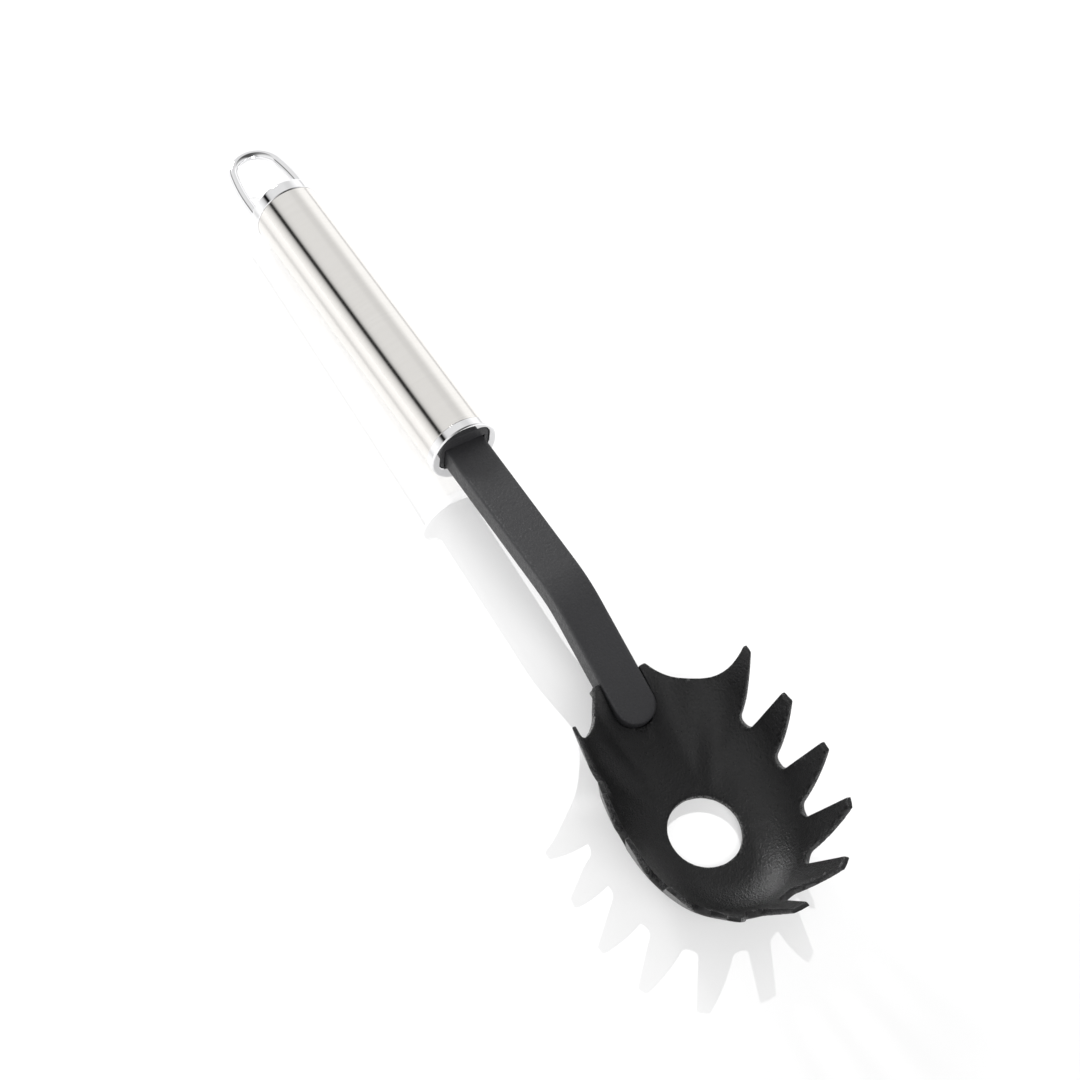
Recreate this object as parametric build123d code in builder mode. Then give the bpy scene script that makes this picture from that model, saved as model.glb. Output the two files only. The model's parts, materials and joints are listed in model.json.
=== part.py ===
from build123d import *
import math
import os

os.makedirs("parts", exist_ok=True)

# Pasta server: a toothed bowl on a bent bar, held in a round steel handle with a hanging loop.
# Lengths are millimetres and angles are degrees.
# Handle frame: X runs along the handle's axis from the ferrule's seam towards the bowl, Y runs
# across, and Z points out of the bowl's hollow side. The row frame is the handle frame tipped so
# that the bowl and the top cap's rim both touch the table, with its origin under the middle.
# Bowl frame: the handle frame moved to the drain hole, on the bowl's inner surface, and tipped
# forward with the bowl.

# Handle tube
handle_diameter = 22.0
tube_wall = 0.6
tube_length = 107.0
seam_chamfer = 0.2

# Polished end pieces of the handle
band_proud = 0.25
ferrule_band = 3.2
ferrule_spigot = 8.0
ferrule_edge = 0.9
cap_band = 4.5
cap_spigot = 8.0
cap_spigot_wall = 2.0
cap_edge = 1.1
mouth_width = 17.2
mouth_height = 13.1
mouth_lift = 1.65
mouth_corner = 4.2
mouth_foot_corner = 3.0

# Bush that fills the ferrule's mouth
bush_length = 8.0
bush_recess = 0.15
bush_chamfer = 0.4
shaft_gap = 0.3

# Hanging loop
wire_diameter = 3.2
loop_width = 18.9
loop_reach = 23.8
loop_side_radius = 60.0
loop_side_turn = 13.0
loop_socket = 3.7

# Shaft
shaft_width = 13.4
shaft_thickness = 7.2
shaft_edge = 0.9
top_facing_share = 0.54
bend_place = 63.4
bend_angle = 18.5
bend_radius = 40.0
tongue_reach = 45.3
tongue_length = 16.1
tongue_end_thickness = 5.0
tongue_end_flat = 0.4

# Tang inside the handle, with its core and pin
tang_width = 10.0
tang_thickness = 5.0
tang_length = 46.0
core_length = 58.0
pin_diameter = 3.0
pin_length = 17.0
pin_place = 26.0

# Bowl
hole_diameter = 22.2
bowl_tilt = 10.0
bowl_wall = 2.4
tip_wall = 1.5
bowl_half_width = 32.8
tine_height = 28.9
dish_slope = 3.0
neck_boss_wall = 1.6
neck_boss_side = 2.0
neck_boss_round = 3.0

# The tongue's end behind the drain hole's axis and above its rim, as shares of the half width
nose_behind_share = 1.0713
nose_above_share = 0.2477

# Tines and the gaps between them
gap_root_width = 4.4
gap_root_radius = 2.2
gap_root_height = 9.6
gap_top_width = 13.0
gap_bulge = 0.8
gap_cut_slope = 35.0
gap_cut_reach = 20.0
tip_place = 34.4
tip_round = 1.2
scoop_cut_slope = 60.0

# Clearances
fit_gap = 0.05
pocket_gap = 0.1
overrun = 10.0

# The bowl's inner surface in a fan of upright sections round the drain hole, from the front tine
# at 0 degrees to the neck at 180. The columns are the section's angle, then as shares of the
# bowl's half width the radius of the wall's foot, of the wall's end and of the corner between
# floor and wall, and last the height of the wall's end as a share of the tine height.
fan_shares = (
    (0.0, 0.779, 1.189, 0.427, 1.04),
    (15.0, 0.763, 1.183, 0.427, 1.04),
    (30.0, 0.729, 1.163, 0.440, 1.04),
    (45.0, 0.699, 1.110, 0.480, 1.04),
    (60.0, 0.659, 1.061, 0.530, 1.04),
    (75.0, 0.645, 1.015, 0.570, 1.04),
    (90.0, 0.651, 0.994, 0.600, 1.04),
    (105.0, 0.688, 1.015, 0.640, 1.04),
    (120.0, 0.764, 1.082, 0.740, 1.04),
    (135.0, 0.869, 1.256, 0.900, 1.04),
    (145.0, 0.976, 1.494, 1.050, 1.04),
    (155.0, 1.006, 1.488, 1.300, 0.713),
    (165.0, 0.991, 1.674, 1.700, 0.412),
    (172.0, 0.960, 1.723, 1.900, 0.308),
    (180.0, 0.793, 1.723, 1.900, 0.180),
)

# The gaps of one side, from the neck forwards: the place of the root at the outer surface, along
# and across the bowl, as shares of the half width, the direction that the gap faces in degrees
# from straight ahead, and the sideways lean of its open end as a share of the half width.
gap_shares = (
    (-0.634, 0.768, 99.0, 0.110),
    (-0.165, 0.836, 94.5, 0.048),
    (0.322, 0.782, 80.6, 0.038),
    (0.732, 0.569, 52.0, 0.046),
    (0.964, 0.184, 18.0, 0.048),
)

# The outer edge between the neck and the first tine: places behind the drain hole and to the side
# as shares of the half width, and heights as shares of the tine height.
scoop_shares = (
    (1.570, 0.265, 0.270),
    (1.418, 0.360, 0.242),
    (1.317, 0.427, 0.294),
    (1.223, 0.515, 0.363),
    (1.143, 0.607, 0.446),
    (1.091, 0.683, 0.595),
    (1.107, 0.866, 1.000),
)

# Sizes worked out from the ones above
tube_radius = handle_diameter / 2
tube_bore = tube_radius - tube_wall
band_radius = tube_radius + band_proud
bush_back = ferrule_band - bush_recess - bush_length
cap_end = tube_length + cap_band
hole_radius = hole_diameter / 2
half_thickness = shaft_thickness / 2
fan_start = hole_radius / 2
neck_start = tongue_reach - tongue_length
taper = (shaft_thickness - tongue_end_thickness) / tongue_length
nose_round = (shaft_width - tongue_end_flat) / 2
fan_top = tine_height + overrun
bend_turn = math.radians(bend_angle)
nose_place = bend_place + tongue_reach * math.cos(bend_turn)
nose_drop = tongue_reach * math.sin(bend_turn)
hole_place = nose_place + nose_behind_share * bowl_half_width
hole_drop = nose_drop + nose_above_share * bowl_half_width


def floor_height(radius):
    """Height of the bowl's floor above the drain hole's rim, at a distance from the hole's axis."""
    return math.tan(math.radians(dish_slope)) * (radius - hole_radius)


def wall_corner(foot, end, end_height, corner):
    """The wall's slope, and the centre of the arc between floor and wall, in one section."""
    rise = end_height - floor_height(foot)
    slope = math.atan2(rise, end - foot)
    floor_slope = math.radians(dish_slope)
    half_turn = (slope - floor_slope) / 2
    back = corner * math.tan(half_turn)
    centre_out = foot - back * math.cos(floor_slope) - corner * math.sin(floor_slope)
    centre_up = floor_height(foot) - back * math.sin(floor_slope) + corner * math.cos(floor_slope)
    return slope, centre_out, centre_up


def bowl_to_handle(along, up):
    """A point on the symmetry plane, from the bowl frame to the handle frame."""
    tilt = math.radians(bowl_tilt)
    x = hole_place + along * math.cos(tilt) + up * math.sin(tilt)
    z = -hole_drop - along * math.sin(tilt) + up * math.cos(tilt)
    return x, z


# The table touches the front corner of the bowl and the lower rim of the top cap.
front_foot, front_end, front_corner = [share * bowl_half_width for share in fan_shares[0][1:4]]
front_slope, corner_out, corner_up = wall_corner(
    front_foot, front_end, fan_shares[0][4] * tine_height, front_corner
)
corner_x, corner_z = bowl_to_handle(corner_out, corner_up)
rim_x = -cap_end + cap_edge
rim_z = -band_radius
to_corner = math.hypot(corner_x - rim_x, corner_z - rim_z)
line_angle = math.atan2(corner_z - rim_z, corner_x - rim_x)
rest_angle = math.asin((front_corner + bowl_wall) / to_corner) - line_angle

# The origin is under the middle between the loop's top and the front tine's tip.
front_reach = front_foot + (tine_height - floor_height(front_foot)) / math.tan(front_slope)
tip_x, tip_z = bowl_to_handle(front_reach + tip_wall / math.sin(front_slope), tine_height)
front_place = tip_x * math.cos(rest_angle) - tip_z * math.sin(rest_angle)
back_place = -(cap_end + loop_reach) * math.cos(rest_angle) - wire_diameter / 2
row_x = -(front_place + back_place) / 2
row_z = -(rim_x * math.sin(rest_angle) + rim_z * math.cos(rest_angle))

handle = Plane(
    origin=(row_x, 0, row_z),
    x_dir=(math.cos(rest_angle), 0, math.sin(rest_angle)),
    z_dir=(-math.sin(rest_angle), 0, math.cos(rest_angle)),
)


def side_plane(x, z, tip):
    """The symmetry plane, with its own X tipped down from the handle's axis, and Y pointing up."""
    turn = rest_angle - math.radians(tip)
    return Plane(
        origin=handle.from_local_coords((x, 0, z)),
        x_dir=(math.cos(turn), 0, math.sin(turn)),
        z_dir=(0, -1, 0),
    )


side = side_plane(0, 0, 0)
tongue_side = side_plane(bend_place, 0, bend_angle)
tongue_axis = Axis(tongue_side.origin, tongue_side.x_dir)
tongue_normal = Axis(tongue_side.origin, tongue_side.y_dir)
neck_end = Plane(
    origin=tongue_side.from_local_coords((neck_start, 0, 0)), z_dir=tongue_side.x_dir
)
bowl_side = side_plane(hole_place, -hole_drop, bowl_tilt)
bowl_frame = Plane(origin=bowl_side.origin, x_dir=bowl_side.x_dir, z_dir=bowl_side.y_dir)


def across(x):
    """The plane across the handle's axis at x, facing the bowl, with its own Y pointing up."""
    return Plane(
        origin=handle.from_local_coords((x, 0, 0)), x_dir=handle.y_dir, z_dir=handle.x_dir
    )


def facing_plane(along, sideways, facing):
    """An upright plane of the bowl frame at a place, that faces a direction from straight ahead."""
    turn = math.radians(facing)
    outward = bowl_frame.x_dir * math.cos(turn) + bowl_frame.y_dir * math.sin(turn)
    return Plane(
        origin=bowl_frame.from_local_coords((along, sideways, 0)),
        x_dir=bowl_frame.z_dir.cross(outward),
        z_dir=outward,
    )


def fan_sketch(fan_row, wall, start, top):
    """A section of the filled bowl, up to its inner surface, or with the wall to its outer one."""
    angle, foot, end, corner = fan_row[0], *[share * bowl_half_width for share in fan_row[1:4]]
    end_height = fan_row[4] * tine_height
    slope, centre_out, centre_up = wall_corner(foot, end, end_height, corner)
    floor_slope = math.radians(dish_slope)
    arc_points = []
    for turn in (floor_slope, (floor_slope + slope) / 2, slope):
        out = centre_out + (corner + wall) * math.sin(turn)
        up = centre_up - (corner + wall) * math.cos(turn)
        arc_points.append((out, up))
    end_wall = min(wall, tip_wall)
    wall_end = (end + end_wall * math.sin(slope), end_height - end_wall * math.cos(slope))
    inside = (start, floor_height(start) - wall / math.cos(floor_slope))
    with BuildSketch(facing_plane(0, 0, angle - 90)) as section:
        with BuildLine():
            Line(inside, arc_points[0])
            ThreePointArc(*arc_points)
            Polyline(arc_points[2], wall_end, (wall_end[0], top), (start, top), inside)
        make_face()
    return section.sketch


def mouth_sketch(place, inset):
    """The outline of the ferrule's mouth, drawn in by an inset, at a place along the handle."""
    with BuildSketch(across(place)) as outline:
        with Locations((0, mouth_lift)):
            Rectangle(mouth_width - 2 * inset, mouth_height - 2 * inset)
        fillet(outline.vertices().group_by(Axis.Y)[-1], mouth_corner - inset)
        fillet(outline.vertices().group_by(Axis.Y)[0], mouth_foot_corner - inset)
    return outline.sketch


# Handle tube: thin brushed steel with a small chamfer at each seam
with BuildPart() as handle_tube:
    with BuildSketch(across(-tube_length)):
        Circle(tube_radius)
        Circle(tube_bore, mode=Mode.SUBTRACT)
    extrude(amount=tube_length)
    rims = handle_tube.edges().filter_by(GeomType.CIRCLE).group_by(SortBy.RADIUS)[-1]
    chamfer(rims, seam_chamfer)
handle_tube.part.label = "handle_tube"
export_step(handle_tube.part, "parts/handle_tube.step")

# Ferrule: a polished band with a spigot in the tube, and a rounded mouth right through it, which
# reaches higher above the shaft than below it
with BuildPart() as ferrule:
    with BuildSketch(across(0)):
        Circle(band_radius)
    extrude(amount=ferrule_band)
    fillet(ferrule.edges().sort_by(Axis(handle.origin, handle.x_dir))[-1], ferrule_edge)
    chamfer(ferrule.edges().sort_by(Axis(handle.origin, handle.x_dir))[0], seam_chamfer)
    with BuildSketch(across(0)):
        Circle(tube_bore - fit_gap)
    extrude(amount=-ferrule_spigot)
    mouth = mouth_sketch(-ferrule_spigot, 0)
    extrude(mouth, amount=ferrule_spigot + ferrule_band, mode=Mode.SUBTRACT)
ferrule.part.label = "ferrule"
export_step(ferrule.part, "parts/ferrule.step")

# Mouth bush: a black block that closes the ferrule's mouth round the shaft
with BuildPart() as mouth_bush:
    extrude(mouth_sketch(bush_back, fit_gap), amount=bush_length)
    chamfer(
        mouth_bush.faces().sort_by(Axis(handle.origin, handle.x_dir))[-1].edges(), bush_chamfer
    )
    with BuildSketch(across(bush_back)):
        Rectangle(shaft_width + 2 * shaft_gap, shaft_thickness + 2 * shaft_gap)
    extrude(amount=bush_length, mode=Mode.SUBTRACT)
mouth_bush.part.label = "mouth_bush"
export_step(mouth_bush.part, "parts/mouth_bush.step")

# Handle core: the moulded filling that holds the tang in the tube
with BuildPart() as handle_core:
    extrude(mouth_sketch(-ferrule_spigot, fit_gap), amount=bush_back + ferrule_spigot)
    with BuildSketch(across(-ferrule_spigot)):
        Circle(tube_bore - fit_gap)
    extrude(amount=bush_back + ferrule_spigot - core_length)
    with BuildSketch(across(bush_back)):
        Rectangle(tang_width + 2 * fit_gap, tang_thickness + 2 * fit_gap)
    extrude(amount=-(tang_length + fit_gap), mode=Mode.SUBTRACT)
    with BuildSketch(handle.offset(-pin_length / 2 - fit_gap)):
        with Locations((bush_back - pin_place, 0)):
            Circle(pin_diameter / 2 + fit_gap)
    extrude(amount=pin_length + 2 * fit_gap, mode=Mode.SUBTRACT)
handle_core.part.label = "handle_core"
export_step(handle_core.part, "parts/handle_core.step")

# Tang pin: the dowel through the core and the tang
with BuildPart() as tang_pin:
    with BuildSketch(handle.offset(-pin_length / 2)):
        with Locations((bush_back - pin_place, 0)):
            Circle(pin_diameter / 2)
    extrude(amount=pin_length)
tang_pin.part.label = "tang_pin"
export_step(tang_pin.part, "parts/tang_pin.step")

# Shaft: a flat bar with a bend, a rounded tongue on the bowl and a tang in the handle
with BuildPart() as shaft:
    with BuildLine(side):
        FilletPolyline(
            (bush_back, 0), (bend_place, 0), (nose_place, -nose_drop), radius=bend_radius
        )
    with BuildSketch(across(bush_back)):
        Rectangle(shaft_width, shaft_thickness)
    sweep()
    with BuildSketch(tongue_side):
        with BuildLine():
            Polyline(
                (neck_start, -half_thickness),
                (tongue_reach, half_thickness - tongue_end_thickness),
                (tongue_reach + overrun, half_thickness - tongue_end_thickness),
                (tongue_reach + overrun, -shaft_thickness),
                (neck_start, -shaft_thickness),
                close=True,
            )
        make_face()
    extrude(amount=shaft_width, both=True, mode=Mode.SUBTRACT)
    nose = shaft.faces().sort_by(tongue_axis)[-1]
    fillet(nose.edges().filter_by(tongue_normal), nose_round)
    top_faces = [face for face in shaft.faces() if face.normal_at().dot(handle.z_dir) > top_facing_share]
    top_edges = ShapeList(edge for face in top_faces for edge in face.edges())
    outline = ShapeList(edge for edge in top_edges if top_edges.count(edge) == 1)
    fillet(outline.sort_by(Axis(handle.origin, handle.x_dir))[1:], shaft_edge)
    with BuildSketch(across(bush_back)):
        Rectangle(tang_width, tang_thickness)
    extrude(amount=-tang_length)
    with BuildSketch(handle.offset(-shaft_width / 2)):
        with Locations((bush_back - pin_place, 0)):
            Circle(pin_diameter / 2 + fit_gap)
    extrude(amount=shaft_width, mode=Mode.SUBTRACT)
shaft.part.label = "shaft"
export_step(shaft.part, "parts/shaft.step")

# Pocket in the bowl's neck for the tongue: the tongue rests on its floor
with BuildPart() as pocket:
    with BuildSketch(tongue_side):
        with BuildLine():
            Polyline(
                (neck_start - overrun, -half_thickness),
                (neck_start, -half_thickness),
                (tongue_reach + pocket_gap, -half_thickness + taper * (tongue_length + pocket_gap)),
                (tongue_reach + pocket_gap, shaft_thickness),
                (neck_start - overrun, shaft_thickness),
                close=True,
            )
        make_face()
    extrude(amount=shaft_width / 2 + pocket_gap, both=True)
    nose = pocket.faces().sort_by(tongue_axis)[-1]
    fillet(nose.edges().filter_by(tongue_normal), nose_round + pocket_gap)

# Bowl: filled fans of sections for its outside and its hollow, with a boss under the tongue
first_angles = [(-row[0], *row[1:]) for row in reversed(fan_shares[1:3])]
last_angles = [(2 * fan_shares[-1][0] - row[0], *row[1:]) for row in reversed(fan_shares[-3:-1])]
fan_rows = [*first_angles, *fan_shares, *last_angles]
boss_reach = tongue_reach + neck_boss_side
boss_half_width = shaft_width / 2 + neck_boss_side
with BuildPart() as bowl:
    with BuildSketch(tongue_side):
        with BuildLine():
            Polyline(
                (neck_start, -half_thickness - neck_boss_wall),
                (boss_reach, -half_thickness - neck_boss_wall + taper * (boss_reach - neck_start)),
                (boss_reach, half_thickness),
                (neck_start, half_thickness),
                close=True,
            )
        make_face()
    extrude(amount=boss_half_width, both=True)
    nose = bowl.faces().sort_by(tongue_axis)[-1]
    fillet(nose.edges().filter_by(tongue_normal), nose_round + neck_boss_side)
    underside = bowl.faces().sort_by(tongue_normal)[0]
    fillet(underside.edges().sort_by(tongue_axis)[1:], neck_boss_round)
    loft([fan_sketch(row, bowl_wall, fan_start, fan_top) for row in fan_rows])
    hollow = [fan_sketch(row, 0, fan_start / 2, fan_top + overrun) for row in fan_rows]
    loft(hollow, mode=Mode.SUBTRACT)
    split(bisect_by=Plane.XZ, keep=Keep.BOTTOM)
    split(bisect_by=neck_end, keep=Keep.TOP)
    split(bisect_by=bowl_frame.offset(tine_height), keep=Keep.BOTTOM)
    scoop_slope = math.radians(scoop_cut_slope)
    edge_points = []
    for behind_share, sideways_share, up_share in scoop_shares:
        lift = sideways_share * bowl_half_width * math.tan(scoop_slope)
        edge_points.append((-behind_share * bowl_half_width, up_share * tine_height + lift))
    scoop_top = edge_points[-1][1] + 2 * bowl_half_width
    scoop_back = -2 * bowl_half_width
    with BuildSketch(bowl_side):
        with BuildLine():
            Spline(*edge_points)
            Polyline(
                edge_points[-1],
                (edge_points[-1][0], scoop_top),
                (scoop_back, scoop_top),
                (scoop_back, edge_points[0][1]),
                edge_points[0],
            )
        make_face()
    sideways = bowl_frame.y_dir * math.cos(scoop_slope) - bowl_frame.z_dir * math.sin(scoop_slope)
    extrude(amount=2 * bowl_half_width, dir=sideways, mode=Mode.SUBTRACT)
    cut_slope = math.radians(gap_cut_slope)
    tip_start = tip_place - tip_round
    growth = (tip_start - gap_root_height) / (tine_height - gap_root_height)
    half_root = gap_root_width / 2
    spread = (gap_top_width / 2 - half_root) * growth
    half_turn_share = math.sin(math.pi / 4)
    for along_share, sideways_share, facing, lean_share in gap_shares:
        middle = lean_share * bowl_half_width * growth
        neck_edge = middle + half_root + spread
        front_edge = middle - half_root - spread
        facing_outward = facing_plane(
            along_share * bowl_half_width, sideways_share * bowl_half_width, facing
        )
        with BuildSketch(facing_outward) as gap_section:
            with BuildLine():
                ThreePointArc(
                    (half_root, gap_root_height),
                    ((half_root + neck_edge) / 2 - gap_bulge, (gap_root_height + tip_start) / 2),
                    (neck_edge, tip_start),
                )
                ThreePointArc(
                    (neck_edge, tip_start),
                    (
                        neck_edge + tip_round * (1 - half_turn_share),
                        tip_start + tip_round * half_turn_share,
                    ),
                    (neck_edge + tip_round, tip_place),
                )
                Polyline(
                    (neck_edge + tip_round, tip_place),
                    (neck_edge + tip_round, 2 * tine_height),
                    (front_edge - tip_round, 2 * tine_height),
                    (front_edge - tip_round, tip_place),
                )
                ThreePointArc(
                    (front_edge - tip_round, tip_place),
                    (
                        front_edge - tip_round * (1 - half_turn_share),
                        tip_start + tip_round * half_turn_share,
                    ),
                    (front_edge, tip_start),
                )
                Polyline(
                    (front_edge, tip_start),
                    (-half_root, gap_root_height),
                    (half_root, gap_root_height),
                )
            make_face()
            fillet(gap_section.vertices().group_by(Axis.Y)[0], gap_root_radius)
        outward = facing_outward.z_dir * math.cos(cut_slope) - bowl_frame.z_dir * math.sin(cut_slope)
        extrude(amount=gap_cut_reach, dir=outward, both=True, mode=Mode.SUBTRACT)
    mirror(about=Plane.XZ)
    with BuildSketch(bowl_frame.offset(-tine_height)):
        Circle(hole_radius)
    extrude(amount=2 * tine_height, mode=Mode.SUBTRACT)
    add(pocket.part, mode=Mode.SUBTRACT)
bowl.part.label = "bowl"
export_step(bowl.part, "parts/bowl.step")

# Top cap: a polished end with a ring inside the tube, and two sockets for the loop's ends
with BuildPart() as top_cap:
    with BuildSketch(across(-cap_end)):
        Circle(band_radius)
    extrude(amount=cap_band)
    fillet(top_cap.edges().sort_by(Axis(handle.origin, handle.x_dir))[0], cap_edge)
    chamfer(top_cap.edges().sort_by(Axis(handle.origin, handle.x_dir))[-1], seam_chamfer)
    with BuildSketch(across(-tube_length)):
        Circle(tube_bore - fit_gap)
        Circle(tube_bore - fit_gap - cap_spigot_wall, mode=Mode.SUBTRACT)
    extrude(amount=cap_spigot)
    with BuildSketch(across(-cap_end)):
        with Locations((loop_width / 2, 0), (-loop_width / 2, 0)):
            Circle(wire_diameter / 2 + fit_gap)
    extrude(amount=loop_socket, mode=Mode.SUBTRACT)
top_cap.part.label = "top_cap"
export_step(top_cap.part, "parts/top_cap.step")

# Hanging loop: one bent wire, with straight ends in the cap's sockets
with BuildPart() as hanging_loop:
    half_loop = loop_width / 2
    turn = math.radians(loop_side_turn)
    side_rise = loop_side_radius * math.sin(turn)
    side_in = loop_side_radius * (1 - math.cos(turn))
    half_rise = loop_side_radius * math.sin(turn / 2)
    half_in = loop_side_radius * (1 - math.cos(turn / 2))
    top_radius = (half_loop - side_in) / math.cos(turn)
    bend_start = -cap_end - loop_reach + side_rise + top_radius * (1 - math.sin(turn))
    with BuildLine(handle):
        Line((loop_socket - cap_end, half_loop), (bend_start, half_loop))
        ThreePointArc(
            (bend_start, half_loop),
            (bend_start - half_rise, half_loop - half_in),
            (bend_start - side_rise, half_loop - side_in),
        )
        ThreePointArc(
            (bend_start - side_rise, half_loop - side_in),
            (-cap_end - loop_reach, 0),
            (bend_start - side_rise, side_in - half_loop),
        )
        ThreePointArc(
            (bend_start - side_rise, side_in - half_loop),
            (bend_start - half_rise, half_in - half_loop),
            (bend_start, -half_loop),
        )
        Line((bend_start, -half_loop), (loop_socket - cap_end, -half_loop))
    with BuildSketch(across(loop_socket - cap_end)):
        with Locations((half_loop, 0)):
            Circle(wire_diameter / 2)
    sweep()
hanging_loop.part.label = "hanging_loop"
export_step(hanging_loop.part, "parts/hanging_loop.step")
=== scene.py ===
import json
import math

import bpy
from mathutils import Matrix, Vector

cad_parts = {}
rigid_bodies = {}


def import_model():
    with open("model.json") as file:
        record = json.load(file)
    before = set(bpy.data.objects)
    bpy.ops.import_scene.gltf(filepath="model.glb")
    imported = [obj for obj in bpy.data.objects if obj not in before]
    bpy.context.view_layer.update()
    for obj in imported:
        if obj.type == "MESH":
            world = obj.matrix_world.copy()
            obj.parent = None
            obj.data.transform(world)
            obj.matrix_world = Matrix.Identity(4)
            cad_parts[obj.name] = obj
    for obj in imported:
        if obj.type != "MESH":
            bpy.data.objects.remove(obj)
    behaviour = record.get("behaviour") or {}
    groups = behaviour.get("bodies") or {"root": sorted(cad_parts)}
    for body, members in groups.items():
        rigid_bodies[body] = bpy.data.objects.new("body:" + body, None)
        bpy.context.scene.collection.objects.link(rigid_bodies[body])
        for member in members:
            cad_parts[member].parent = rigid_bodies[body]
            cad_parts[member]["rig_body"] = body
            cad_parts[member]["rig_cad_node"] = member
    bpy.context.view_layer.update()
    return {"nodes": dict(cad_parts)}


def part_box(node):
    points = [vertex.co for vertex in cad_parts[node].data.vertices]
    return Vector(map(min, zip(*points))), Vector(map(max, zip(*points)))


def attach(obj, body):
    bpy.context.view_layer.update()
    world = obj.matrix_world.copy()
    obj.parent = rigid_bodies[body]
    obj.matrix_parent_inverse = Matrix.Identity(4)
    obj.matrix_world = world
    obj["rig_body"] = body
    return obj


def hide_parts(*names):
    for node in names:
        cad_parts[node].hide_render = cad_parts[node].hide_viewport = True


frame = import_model()

# Sizes in millimetres, in the handle's own frame: X along the handle's axis from the ferrule's
# seam towards the bowl, Y across, Z out of the bowl's hollow side.
MM = 0.001

# Handle tube and the two bands at its ends
TUBE_RADIUS = 11.0
TUBE_WALL = 0.6
TUBE_LENGTH = 107.0
SEAM_CHAMFER = 0.2
BAND_RADIUS = 11.25
FIT_GAP = 0.05
SPIGOT_RADIUS = TUBE_RADIUS - TUBE_WALL - FIT_GAP
SPIGOT_LENGTH = 8.0
SPIGOT_WALL = 2.0
FERRULE_BAND = 3.2
FERRULE_EDGE = 0.6
CAP_BAND = 4.5
CAP_EDGE = 1.1
CAP_END = TUBE_LENGTH + CAP_BAND

# Mouth of the ferrule, a rounded square that lies a little above the handle's axis
MOUTH_WIDTH = 17.2
MOUTH_HEIGHT = 13.1
MOUTH_LIFT = 1.65
MOUTH_CORNER = 4.2
MOUTH_FOOT_CORNER = 3.0
MOUTH_BEVEL = 0.15

# Wire loop
LOOP_WIDTH = 18.9
LOOP_REACH = 23.8
LOOP_SIDE_RADIUS = 60.0
LOOP_SIDE_TURN = math.radians(13.0)
LOOP_SOCKET = 3.7
WIRE_RADIUS = 1.6

# Fineness of the meshes
TURNED_SIDES = 160
WIRE_SIDES = 32
ROUND_STEPS = 8
CORNER_STEPS = 10
LOOP_SIDE_STEPS = 10
LOOP_TOP_STEPS = 48
NYLON_VOXEL = 0.22
NYLON_TRIANGLES = 180000
BOWL_SMOOTH_STEPS = 36
SHAFT_SMOOTH_STEPS = 40
MERGE_DISTANCE = 0.001

# Angles up to which an edge is shaded smooth, and from which it is chamfered
TUBE_SMOOTH = math.radians(20)
BAND_SMOOTH = math.radians(28)
WIRE_SMOOTH = math.radians(40)
CHAMFER_ABOVE = math.radians(50)

# A face or an edge points along the handle when this share of its direction does, and an edge of
# the mouth is its upper or lower one when it lies this share of the height from the middle.
ALONG_SHARE = 0.9
MOUTH_EDGE_SHARE = 0.49

# Surface patterns, in millimetres
BOWL_GRAIN = 0.7
BOWL_GRAIN_DEPTH = 0.3
SHAFT_GRAIN = 0.7
SHAFT_GRAIN_DEPTH = 0.2
CORE_GRAIN = 0.6
CORE_GRAIN_DEPTH = 0.05
PIGMENT_CLOUDS = 28.0
BUFFING_WEAR = 4.0
SCRATCH_WIDTH = 0.15
SCRATCH_LENGTH = 50 / 3
SCRATCH_DEPTH = 0.01

# Camera in the handle's frame: its place in millimetres, and the directions of its right and up
# sides. Its lens and its sensor are in millimetres too.
CAMERA_PLACE = (507.1, -345.6, 758.3)
CAMERA_RIGHT = (0.52097, 0.85057, 0.07163)
CAMERA_UP = (-0.70164, 0.37894, 0.60342)
CAMERA_LENS = 107.1
CAMERA_SENSOR = 36.0
CAMERA_CLIP = 10.0

# Studio tent: its grey by the angle across the handle, in degrees from straight up. Over the
# handle it has white sides, a slightly grey roof and a dark opening along the left. Over the bowl
# its roof is open. The edge says how far forward the one passes into the other.
HANDLE_TENT = (
    (-100, 1.0), (-88, 0.95), (-75, 0.74), (-66, 0.50), (-60, 0.04), (-57, 0.0), (-53, 0.0),
    (-48, 0.42), (-42, 0.66), (-30, 0.72), (15, 0.72), (27, 0.66), (40, 0.66), (50, 0.80),
    (60, 0.96), (80, 1.0), (88, 0.6), (95, 0.4),
)
BOWL_TENT = (
    (-100, 0.85), (-70, 0.85), (-40, 0.75), (-22, 0.42), (-3, 0.16), (14, 0.08), (32, 0.08),
    (48, 0.40), (70, 0.9), (95, 0.85),
)
TENT_EDGE = (-0.36, -0.24)
TENT_STRENGTH = 1.28

# Floor: its size in metres, its grey, the share that mirrors, how rough the mirror is, and how
# much white is added to what the camera and the metal see of it
FLOOR_SIZE = 6.0
FLOOR_GREY = 0.78
FLOOR_GLOSS_SHARE = 0.35
FLOOR_ROUGHNESS = 0.03
FLOOR_LIFT = 0.33

# Lamps, in metres and watts: name, place, size, power, target, and whether surfaces mirror it
LAMPS = (
    ("back_lamp", (-1.5, -0.05, 0.6), 0.32, 14, (0.12, 0, 0), True),
    ("front_lamp", (1.0, -0.2, 0.9), 0.8, 12, (0.1, 0, 0), False),
)


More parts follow.
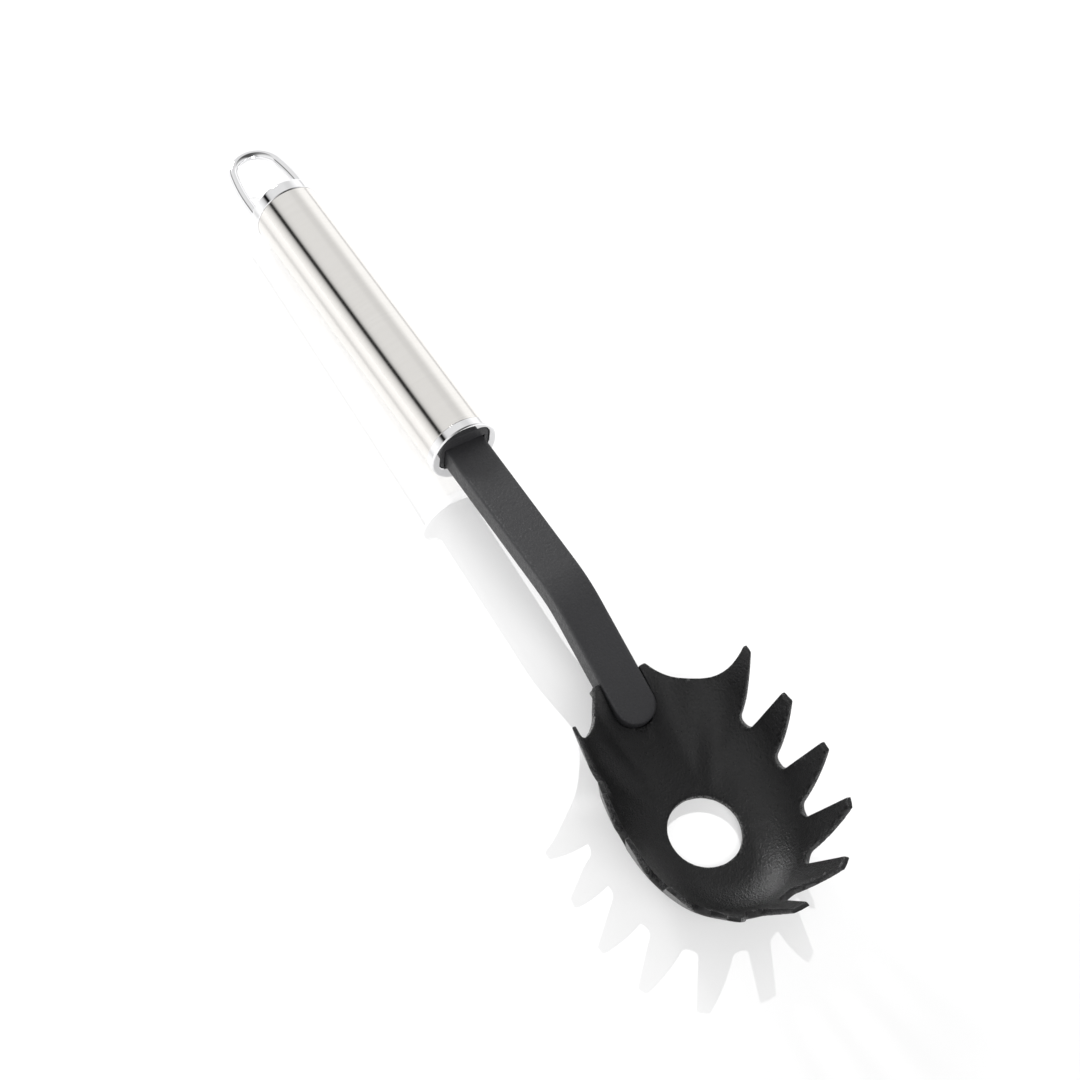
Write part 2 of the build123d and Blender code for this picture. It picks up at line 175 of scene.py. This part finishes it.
def handle_matrix():
    """Turns and moves the handle's frame into the row's, read from the tube's mesh."""
    points = [vertex.co.copy() for vertex in frame["nodes"]["handle_tube"].data.vertices]
    low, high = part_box("handle_tube")
    middle = (low.x + high.x) / 2
    back = [point for point in points if point.x < middle]
    front = [point for point in points if point.x > middle]
    back_centre = sum(back, Vector()) / len(back)
    front_centre = sum(front, Vector()) / len(front)
    back_centre.y = front_centre.y = 0
    along = (front_centre - back_centre).normalized()
    reach = max((point - back_centre).dot(along) for point in points)
    origin = back_centre + along * reach
    across = Vector((0, 1, 0))
    up = along.cross(across)
    turn = Matrix((along, across, up)).transposed().to_4x4()
    return Matrix.Translation(origin) @ turn


HANDLE = handle_matrix()


def srgb(code):
    """An sRGB hex colour as the linear colour that a shader takes."""
    channels = [int(code[i:i + 2], 16) / 255 for i in (1, 3, 5)]
    linear = [c / 12.92 if c <= 0.04045 else ((c + 0.055) / 1.055) ** 2.4 for c in channels]
    return (*linear, 1.0)


def node(tree, kind, settings=None, inputs=None, links=None):
    """Adds one shader node with its settings, its input values and its incoming links."""
    made = tree.nodes.new(kind)
    for name, value in (settings or {}).items():
        setattr(made, name, value)
    for name, value in (inputs or {}).items():
        made.inputs[name].default_value = value
    for name, source in (links or {}).items():
        tree.links.new(source, made.inputs[name])
    return made


def new_material(name):
    """An empty material, with its tree and its output node."""
    material = bpy.data.materials.new(name)
    material.use_nodes = True
    tree = material.node_tree
    tree.nodes.clear()
    output = node(tree, "ShaderNodeOutputMaterial")
    return material, tree, output


def moulded_nylon(name, colour, light_colour, roughness, grain, depth):
    """Glass-filled nylon, injection moulded in a spark-eroded mould: a fine even grain breaks
    every highlight into small specks, and the pigment is slightly uneven. The real grain is about
    0.3 mm, too fine to show in the render, so it is drawn about twice as coarse."""
    material, tree, output = new_material(name)
    place = node(tree, "ShaderNodeTexCoord").outputs["Object"]
    specks = node(
        tree, "ShaderNodeTexNoise", None,
        {"Scale": 1 / (grain * MM), "Detail": 3.0, "Roughness": 0.65}, {"Vector": place},
    )
    clouds = node(
        tree, "ShaderNodeTexNoise", None,
        {"Scale": 1 / (PIGMENT_CLOUDS * MM), "Detail": 2.0}, {"Vector": place},
    )
    blend = node(
        tree, "ShaderNodeMix", {"data_type": "RGBA"},
        {"A": srgb(colour), "B": srgb(light_colour)}, {"Factor": clouds.outputs["Fac"]},
    )
    rough = node(
        tree, "ShaderNodeMapRange", None,
        {"From Min": 0.3, "From Max": 0.7, "To Min": roughness - 0.10, "To Max": roughness + 0.12},
        {"Value": specks.outputs["Fac"]},
    )
    bump = node(
        tree, "ShaderNodeBump", None, {"Strength": 1.0, "Distance": depth * MM},
        {"Height": specks.outputs["Fac"]},
    )
    shader = node(
        tree, "ShaderNodeBsdfPrincipled", None, {"IOR": 1.53},
        {
            "Base Color": blend.outputs["Result"],
            "Roughness": rough.outputs["Result"],
            "Normal": bump.outputs["Normal"],
        },
    )
    tree.links.new(shader.outputs["BSDF"], output.inputs["Surface"])
    return material


def polished_steel(name, colour, roughness):
    """Stainless steel, buffed to a mirror: it shows the studio round it, with a trace of the
    buffing wheel's fine uneven wear."""
    material, tree, output = new_material(name)
    place = node(tree, "ShaderNodeTexCoord").outputs["Object"]
    wear = node(
        tree, "ShaderNodeTexNoise", None,
        {"Scale": 1 / (BUFFING_WEAR * MM), "Detail": 4.0}, {"Vector": place},
    )
    rough = node(
        tree, "ShaderNodeMapRange", None,
        {"From Min": 0.3, "From Max": 0.7, "To Min": roughness, "To Max": roughness + 0.04},
        {"Value": wear.outputs["Fac"]},
    )
    shader = node(
        tree, "ShaderNodeBsdfPrincipled", None,
        {"Base Color": srgb(colour), "Metallic": 1.0}, {"Roughness": rough.outputs["Result"]},
    )
    tree.links.new(shader.outputs["BSDF"], output.inputs["Surface"])
    return material


def brushed_steel(name):
    """Stainless tube, brushed round its girth with a belt: fine rings blur what it shows along
    the handle, and keep it narrow across."""
    material, tree, output = new_material(name)
    place = node(tree, "ShaderNodeTexCoord").outputs["Object"]
    straight = node(
        tree, "ShaderNodeMapping", {"vector_type": "TEXTURE"},
        {"Location": HANDLE.to_translation(), "Rotation": HANDLE.to_euler()}, {"Vector": place},
    )
    # The belt's scratches are fine, and about two centimetres long round the tube.
    width = SCRATCH_WIDTH * MM
    length = SCRATCH_LENGTH * MM
    rings = node(
        tree, "ShaderNodeMapping", None, {"Scale": (1 / width, 1 / length, 1 / length)},
        {"Vector": straight.outputs["Vector"]},
    )
    scratches = node(
        tree, "ShaderNodeTexNoise", None, {"Scale": 1.0, "Detail": 5.0, "Roughness": 0.6},
        {"Vector": rings.outputs["Vector"]},
    )
    tone = node(
        tree, "ShaderNodeMix", {"data_type": "RGBA"},
        {"A": srgb("#DCD9D5"), "B": srgb("#EBE9E6")}, {"Factor": scratches.outputs["Fac"]},
    )
    rough = node(
        tree, "ShaderNodeMapRange", None,
        {"From Min": 0.25, "From Max": 0.75, "To Min": 0.10, "To Max": 0.14},
        {"Value": scratches.outputs["Fac"]},
    )
    bump = node(
        tree, "ShaderNodeBump", None, {"Strength": 0.05, "Distance": SCRATCH_DEPTH * MM},
        {"Height": scratches.outputs["Fac"]},
    )
    shader = node(
        tree, "ShaderNodeBsdfPrincipled", None, {"Metallic": 1.0},
        {
            "Base Color": tone.outputs["Result"],
            "Roughness": rough.outputs["Result"],
            "Normal": bump.outputs["Normal"],
        },
    )
    tree.links.new(shader.outputs["BSDF"], output.inputs["Surface"])
    return material


def deselect():
    """Leaves edit mode and deselects every object."""
    if bpy.context.object and bpy.context.object.mode == "EDIT":
        bpy.ops.object.mode_set(mode="OBJECT")
    bpy.ops.object.select_all(action="DESELECT")


def pick(piece):
    """Makes one object the only selected one, and the active one."""
    deselect()
    piece.select_set(True)
    bpy.context.view_layer.objects.active = piece


def bake_place(piece):
    """Writes an object's place and turn into its mesh."""
    pick(piece)
    bpy.ops.object.transform_apply(location=True, rotation=True, scale=True)


def apply_modifier(piece, kind, **settings):
    """Adds a modifier with its settings and applies it."""
    pick(piece)
    modifier = piece.modifiers.new(kind.title(), kind)
    for name, value in settings.items():
        setattr(modifier, name, value)
    bpy.ops.object.modifier_apply(modifier=modifier.name)


def turned(name, profile):
    """A closed piece turned about the handle's axis, from a profile of places along the axis and
    radii: a ring of edges is extruded and scaled from point to point, and its ends are filled."""
    deselect()
    start, radius = profile[0]
    bpy.ops.mesh.primitive_circle_add(
        vertices=TURNED_SIDES, radius=radius * MM, fill_type="NGON",
        location=(start * MM, 0, 0), rotation=(0, math.pi / 2, 0),
    )
    piece = bpy.context.object
    piece.name = name
    bake_place(piece)
    bpy.ops.object.mode_set(mode="EDIT")
    for place, next_radius in profile[1:]:
        bpy.ops.mesh.extrude_region_move(
            TRANSFORM_OT_translate={"value": ((place - start) * MM, 0, 0)}
        )
        grow = next_radius / radius
        bpy.ops.transform.resize(value=(1, grow, grow), center_override=(place * MM, 0, 0))
        start, radius = place, next_radius
    bpy.ops.mesh.select_all(action="SELECT")
    bpy.ops.mesh.normals_make_consistent(inside=False)
    bpy.ops.object.mode_set(mode="OBJECT")
    return piece


def quarter_round(place, radius, edge, toward):
    """Profile points of a rounded edge that ends at a place, facing along the axis."""
    points = []
    for step in range(ROUND_STEPS + 1):
        turn = math.pi / 2 * step / ROUND_STEPS
        points.append((
            place - toward * edge * (1 - math.sin(turn)),
            radius - edge * (1 - math.cos(turn)),
        ))
    return points


def finish_piece(piece, node_name, material, angle):
    """Places a piece that was modelled in the handle's frame, and lets it stand for its node."""
    bake_place(piece)
    piece.data.transform(HANDLE)
    dress(piece, node_name, material, angle)


def dress(piece, node_name, material, angle):
    """Shading, material and the piece's part in the frame. Without an angle it is smooth all over."""
    pick(piece)
    if angle:
        bpy.ops.object.shade_smooth_by_angle(angle=angle)
        apply_modifier(piece, "WEIGHTED_NORMAL", keep_sharp=True, weight=100)
    else:
        bpy.ops.object.shade_smooth()
    piece.data.materials.clear()
    piece.data.materials.append(material)
    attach(piece, "root")
    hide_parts(node_name)


def cut(piece, cutter):
    """Cuts one object out of another and removes the cutter."""
    apply_modifier(piece, "BOOLEAN", object=cutter, operation="DIFFERENCE", solver="EXACT")
    deselect()
    bpy.data.objects.remove(cutter)


def brushed_tube(material):
    """The thin tube: an open cylinder given its wall, with a small chamfer at each seam."""
    deselect()
    bpy.ops.mesh.primitive_cylinder_add(
        vertices=TURNED_SIDES, radius=TUBE_RADIUS * MM, depth=TUBE_LENGTH * MM,
        end_fill_type="NOTHING", location=(-TUBE_LENGTH / 2 * MM, 0, 0),
        rotation=(0, math.pi / 2, 0),
    )
    piece = bpy.context.object
    piece.name = "brushed_tube"
    bake_place(piece)
    apply_modifier(piece, "SOLIDIFY", thickness=TUBE_WALL * MM, offset=-1.0)
    apply_modifier(
        piece, "BEVEL", width=SEAM_CHAMFER * MM, segments=1, limit_method="ANGLE",
        angle_limit=CHAMFER_ABOVE,
    )
    finish_piece(piece, "handle_tube", material, TUBE_SMOOTH)


def polished_cap(material):
    """The closed end: a turned disc with a rounded rim, a ring inside the tube and two sockets."""
    inner = SPIGOT_RADIUS - SPIGOT_WALL
    profile = [
        (-TUBE_LENGTH, inner),
        (SPIGOT_LENGTH - TUBE_LENGTH, inner),
        (SPIGOT_LENGTH - TUBE_LENGTH, SPIGOT_RADIUS),
        (-TUBE_LENGTH, SPIGOT_RADIUS),
        (-TUBE_LENGTH, BAND_RADIUS - SEAM_CHAMFER),
        (-TUBE_LENGTH - SEAM_CHAMFER, BAND_RADIUS),
    ]
    profile += quarter_round(-CAP_END, BAND_RADIUS, CAP_EDGE, -1)
    piece = turned("polished_cap", profile)
    for side in (-1, 1):
        deselect()
        bpy.ops.mesh.primitive_cylinder_add(
            vertices=WIRE_SIDES * 2, radius=(WIRE_RADIUS + FIT_GAP) * MM,
            depth=2 * LOOP_SOCKET * MM,
            location=(-CAP_END * MM, side * LOOP_WIDTH / 2 * MM, 0),
            rotation=(0, math.pi / 2, 0),
        )
        cut(piece, bpy.context.object)
    finish_piece(piece, "top_cap", material, BAND_SMOOTH)


def polished_ferrule(material):
    """The lower band: a turned ring with a spigot in the tube and a rounded square mouth."""
    profile = [
        (-SPIGOT_LENGTH, SPIGOT_RADIUS),
        (0, SPIGOT_RADIUS),
        (0, BAND_RADIUS - SEAM_CHAMFER),
        (SEAM_CHAMFER, BAND_RADIUS),
    ]
    profile += quarter_round(FERRULE_BAND, BAND_RADIUS, FERRULE_EDGE, 1)
    piece = turned("polished_ferrule", profile)
    cut(piece, mouth_cutter())
    finish_piece(piece, "ferrule", material, BAND_SMOOTH)


def mouth_cutter():
    """A block with the mouth's outline, which flares out at the mouth's rim."""
    back = -2 * SPIGOT_LENGTH
    front = FERRULE_BAND - MOUTH_BEVEL
    deselect()
    bpy.ops.mesh.primitive_cube_add(
        size=1, location=((back + front) / 2 * MM, 0, MOUTH_LIFT * MM),
        scale=((front - back) * MM, MOUTH_WIDTH * MM, MOUTH_HEIGHT * MM),
    )
    cutter = bpy.context.object
    bake_place(cutter)
    for up, corner in ((1, MOUTH_CORNER), (-1, MOUTH_FOOT_CORNER)):
        pick_edges(cutter, lambda start, end: (
            abs((end - start).normalized().x) > ALONG_SHARE
            and up * ((start.z + end.z) / 2 - MOUTH_LIFT * MM)
            > MOUTH_HEIGHT * MOUTH_EDGE_SHARE * MM
        ))
        bpy.ops.mesh.bevel(offset=corner * MM, segments=CORNER_STEPS)
        bpy.ops.object.mode_set(mode="OBJECT")
    bpy.ops.object.mode_set(mode="EDIT")
    bpy.ops.mesh.select_mode(type="FACE")
    bpy.ops.mesh.select_all(action="DESELECT")
    bpy.ops.object.mode_set(mode="OBJECT")
    for face in cutter.data.polygons:
        face.select = face.normal.x > ALONG_SHARE
    bpy.ops.object.mode_set(mode="EDIT")
    bpy.ops.mesh.extrude_region_move(
        TRANSFORM_OT_translate={"value": (2 * MOUTH_BEVEL * MM, 0, 0)}
    )
    bpy.ops.transform.resize(
        value=(1, 1 + 4 * MOUTH_BEVEL / MOUTH_WIDTH, 1 + 4 * MOUTH_BEVEL / MOUTH_HEIGHT),
        center_override=(FERRULE_BAND * MM, 0, MOUTH_LIFT * MM),
    )
    bpy.ops.object.mode_set(mode="OBJECT")
    return cutter


def pick_edges(piece, wanted):
    """Goes to edit mode with only those edges selected whose two ends pass a test."""
    pick(piece)
    bpy.ops.object.mode_set(mode="EDIT")
    bpy.ops.mesh.select_mode(type="EDGE")
    bpy.ops.mesh.select_all(action="DESELECT")
    bpy.ops.object.mode_set(mode="OBJECT")
    for edge in piece.data.edges:
        start, end = [piece.data.vertices[i].co for i in edge.vertices]
        edge.select = wanted(start, end)
    bpy.ops.object.mode_set(mode="EDIT")


def wire_loop(material):
    """The loop: a round section extruded out of its socket, spun through the side arcs and the
    top, and extruded down again."""
    half = LOOP_WIDTH / 2
    side_rise = LOOP_SIDE_RADIUS * math.sin(LOOP_SIDE_TURN)
    side_in = LOOP_SIDE_RADIUS * (1 - math.cos(LOOP_SIDE_TURN))
    top_radius = (half - side_in) / math.cos(LOOP_SIDE_TURN)
    bend = -CAP_END - LOOP_REACH + side_rise + top_radius * (1 - math.sin(LOOP_SIDE_TURN))
    foot = LOOP_SOCKET - CAP_END
    top_centre = (-CAP_END - LOOP_REACH + top_radius) * MM
    deselect()
    bpy.ops.mesh.primitive_circle_add(
        vertices=WIRE_SIDES, radius=WIRE_RADIUS * MM, fill_type="NGON",
        location=(foot * MM, half * MM, 0), rotation=(0, math.pi / 2, 0),
    )
    piece = bpy.context.object
    piece.name = "wire_loop"
    bake_place(piece)
    bpy.ops.object.mode_set(mode="EDIT")
    bpy.ops.mesh.extrude_region_move(
        TRANSFORM_OT_translate={"value": ((bend - foot) * MM, 0, 0)}
    )
    side_centre = half - LOOP_SIDE_RADIUS
    turns = (
        (LOOP_SIDE_STEPS, LOOP_SIDE_TURN, (bend * MM, side_centre * MM, 0)),
        (LOOP_TOP_STEPS, math.pi - 2 * LOOP_SIDE_TURN, (top_centre, 0, 0)),
        (LOOP_SIDE_STEPS, LOOP_SIDE_TURN, (bend * MM, -side_centre * MM, 0)),
    )
    for steps, angle, centre in turns:
        bpy.ops.mesh.spin(steps=steps, angle=angle, center=centre, axis=(0, 0, -1))
    bpy.ops.mesh.extrude_region_move(
        TRANSFORM_OT_translate={"value": ((foot - bend) * MM, 0, 0)}
    )
    bpy.ops.mesh.select_all(action="SELECT")
    bpy.ops.mesh.remove_doubles(threshold=MERGE_DISTANCE * MM)
    bpy.ops.mesh.normals_make_consistent(inside=False)
    bpy.ops.object.mode_set(mode="OBJECT")
    finish_piece(piece, "hanging_loop", material, WIRE_SMOOTH)


def softened_copy(name, node_name, material, steps):
    """A moulded piece with its edges softened: a merged copy of the node's mesh, remeshed finely,
    smoothed, which rounds each edge by about half a millimetre, and thinned out again."""
    source = frame["nodes"][node_name]
    pick(source)
    bpy.ops.object.duplicate()
    piece = bpy.context.object
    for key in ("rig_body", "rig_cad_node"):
        if key in piece:
            del piece[key]
    piece.parent = None
    piece.name = name
    pick(piece)
    bpy.ops.object.mode_set(mode="EDIT")
    bpy.ops.mesh.select_all(action="SELECT")
    bpy.ops.mesh.remove_doubles(threshold=MERGE_DISTANCE * MM)
    bpy.ops.object.mode_set(mode="OBJECT")
    piece.data.remesh_voxel_size = NYLON_VOXEL * MM
    piece.data.use_remesh_fix_poles = False
    bpy.ops.object.voxel_remesh()
    apply_modifier(piece, "SMOOTH", factor=0.5, iterations=steps)
    kept_share = NYLON_TRIANGLES / len(piece.data.polygons) / 2
    apply_modifier(piece, "DECIMATE", ratio=min(1, kept_share))
    dress(piece, node_name, material, None)


def grey_ramp(tree, stops, share):
    """A ramp of greys by degrees from straight up, read at a share of the full turn."""
    made = node(tree, "ShaderNodeValToRGB", None, None, {"Fac": share})
    ramp = made.color_ramp
    ramp.elements.remove(ramp.elements[1])
    for index, (degrees, grey) in enumerate(stops):
        place = (degrees + 180) / 360
        stop = ramp.elements[0] if index == 0 else ramp.elements.new(place)
        stop.position = place
        stop.color = (grey, grey, grey, 1)
    return made.outputs["Color"]


def studio():
    """A white glossy floor, and a light tent round the object with an opening for the metal."""
    deselect()
    bpy.ops.mesh.primitive_plane_add(size=FLOOR_SIZE, location=(0, 0, 0))
    floor = bpy.context.object
    floor.name = "studio_floor"
    material, tree, output = new_material("white_gloss_acrylic_floor")
    rays = node(tree, "ShaderNodeLightPath")
    grey = (FLOOR_GREY, FLOOR_GREY, FLOOR_GREY, 1)
    white = (1, 1, 1, 1)
    diffuse = node(tree, "ShaderNodeBsdfDiffuse", None, {"Color": grey})
    gloss = node(
        tree, "ShaderNodeBsdfGlossy", None, {"Color": white, "Roughness": FLOOR_ROUGHNESS}
    )
    layered = node(tree, "ShaderNodeMixShader", None, {"Fac": FLOOR_GLOSS_SHARE})
    tree.links.new(diffuse.outputs["BSDF"], layered.inputs[1])
    tree.links.new(gloss.outputs["BSDF"], layered.inputs[2])
    # What the camera and the metal see of the floor is lifted to the backdrop's white.
    metal_lift = node(
        tree, "ShaderNodeMath", {"operation": "MULTIPLY"}, {1: FLOOR_LIFT},
        {0: rays.outputs["Is Glossy Ray"]},
    )
    lift = node(
        tree, "ShaderNodeMath", {"operation": "MULTIPLY_ADD"}, {1: FLOOR_LIFT},
        {0: rays.outputs["Is Camera Ray"], 2: metal_lift.outputs["Value"]},
    )
    glow = node(
        tree, "ShaderNodeEmission", None, {"Color": white},
        {"Strength": lift.outputs["Value"]},
    )
    both = node(tree, "ShaderNodeAddShader")
    tree.links.new(layered.outputs["Shader"], both.inputs[0])
    tree.links.new(glow.outputs["Emission"], both.inputs[1])
    tree.links.new(both.outputs["Shader"], output.inputs["Surface"])
    floor.data.materials.append(material)

    world = bpy.data.worlds.new("white_studio")
    bpy.context.scene.world = world
    world.use_nodes = True
    tree = world.node_tree
    tree.nodes.clear()
    camera_ray = node(tree, "ShaderNodeLightPath").outputs["Is Camera Ray"]
    # The angle is taken across the handle, from straight up towards the object's right side.
    direction = node(
        tree, "ShaderNodeSeparateXYZ", None, None,
        {"Vector": node(tree, "ShaderNodeTexCoord").outputs["Generated"]},
    )
    angle = node(
        tree, "ShaderNodeMath", {"operation": "ARCTAN2"}, None,
        {0: direction.outputs["Y"], 1: direction.outputs["Z"]},
    )
    share = node(
        tree, "ShaderNodeMapRange", None, {"From Min": -math.pi, "From Max": math.pi},
        {"Value": angle.outputs["Value"]},
    )
    over_handle = grey_ramp(tree, HANDLE_TENT, share.outputs["Result"])
    over_bowl = grey_ramp(tree, BOWL_TENT, share.outputs["Result"])
    forward = node(
        tree, "ShaderNodeMapRange", {"interpolation_type": "SMOOTHSTEP"},
        {"From Min": TENT_EDGE[0], "From Max": TENT_EDGE[1]}, {"Value": direction.outputs["X"]},
    )
    tent = node(
        tree, "ShaderNodeMix", {"data_type": "RGBA"}, None,
        {"Factor": forward.outputs["Result"], "A": over_handle, "B": over_bowl},
    )
    lit = node(
        tree, "ShaderNodeBackground", None, {"Strength": TENT_STRENGTH},
        {"Color": tent.outputs["Result"]},
    )
    backdrop = node(tree, "ShaderNodeBackground", None, {"Color": white, "Strength": 1.0})
    seen = node(tree, "ShaderNodeMixShader", None, None, {"Fac": camera_ray})
    tree.links.new(lit.outputs["Background"], seen.inputs[1])
    tree.links.new(backdrop.outputs["Background"], seen.inputs[2])
    output = node(tree, "ShaderNodeOutputWorld")
    tree.links.new(seen.outputs["Shader"], output.inputs["Surface"])


def lamp(name, place, size, watts, target, mirrored):
    """A soft square lamp that points at a place, mirrored by the surfaces or not."""
    data = bpy.data.lights.new(name, "AREA")
    data.size = size
    data.energy = watts
    made = bpy.data.objects.new(name, data)
    bpy.context.scene.collection.objects.link(made)
    made.location = place
    made.rotation_euler = (Vector(target) - Vector(place)).to_track_quat("-Z", "Y").to_euler()
    made.visible_glossy = mirrored


def camera():
    """The camera at the photograph's viewing angle."""
    data = bpy.data.cameras.new("camera")
    data.lens = CAMERA_LENS
    data.sensor_width = CAMERA_SENSOR
    data.clip_start = CAMERA_CLIP * MM
    made = bpy.data.objects.new("camera", data)
    bpy.context.scene.collection.objects.link(made)
    right = HANDLE.to_3x3() @ Vector(CAMERA_RIGHT).normalized()
    up = HANDLE.to_3x3() @ Vector(CAMERA_UP).normalized()
    turn = Matrix((right, up, right.cross(up))).transposed().to_4x4()
    made.matrix_world = Matrix.Translation(HANDLE @ (Vector(CAMERA_PLACE) * MM)) @ turn
    bpy.context.scene.camera = made


bowl_nylon = moulded_nylon(
    "moulded_black_nylon", "#0D0D0E", "#111112", 0.36, BOWL_GRAIN, BOWL_GRAIN_DEPTH,
)
shaft_nylon = moulded_nylon(
    "moulded_grey_nylon", "#262628", "#2D2D2F", 0.5, SHAFT_GRAIN, SHAFT_GRAIN_DEPTH,
)
core_plastic = moulded_nylon(
    "moulded_core_plastic", "#7A7A78", "#82827F", 0.6, CORE_GRAIN, CORE_GRAIN_DEPTH,
)
mirror_steel = polished_steel("buffed_stainless_steel", "#E9E9EA", 0.05)
wire_steel = polished_steel("drawn_polished_wire", "#E9E9EA", 0.06)
pin_steel = polished_steel("ground_dowel_steel", "#B8B8B8", 0.3)
tube_steel = brushed_steel("belt_brushed_stainless_steel")

camera()
brushed_tube(tube_steel)
polished_cap(mirror_steel)
polished_ferrule(mirror_steel)
wire_loop(wire_steel)
softened_copy("moulded_bowl", "bowl", bowl_nylon, BOWL_SMOOTH_STEPS)
softened_copy("moulded_shaft", "shaft", shaft_nylon, SHAFT_SMOOTH_STEPS)
for node_name, material in (
    ("mouth_bush", shaft_nylon),
    ("handle_core", core_plastic),
    ("tang_pin", pin_steel),
):
    mesh = frame["nodes"][node_name].data
    mesh.materials.clear()
    mesh.materials.append(material)

studio()
for lamp_values in LAMPS:
    lamp(*lamp_values)

bpy.context.scene.view_settings.view_transform = "Standard"
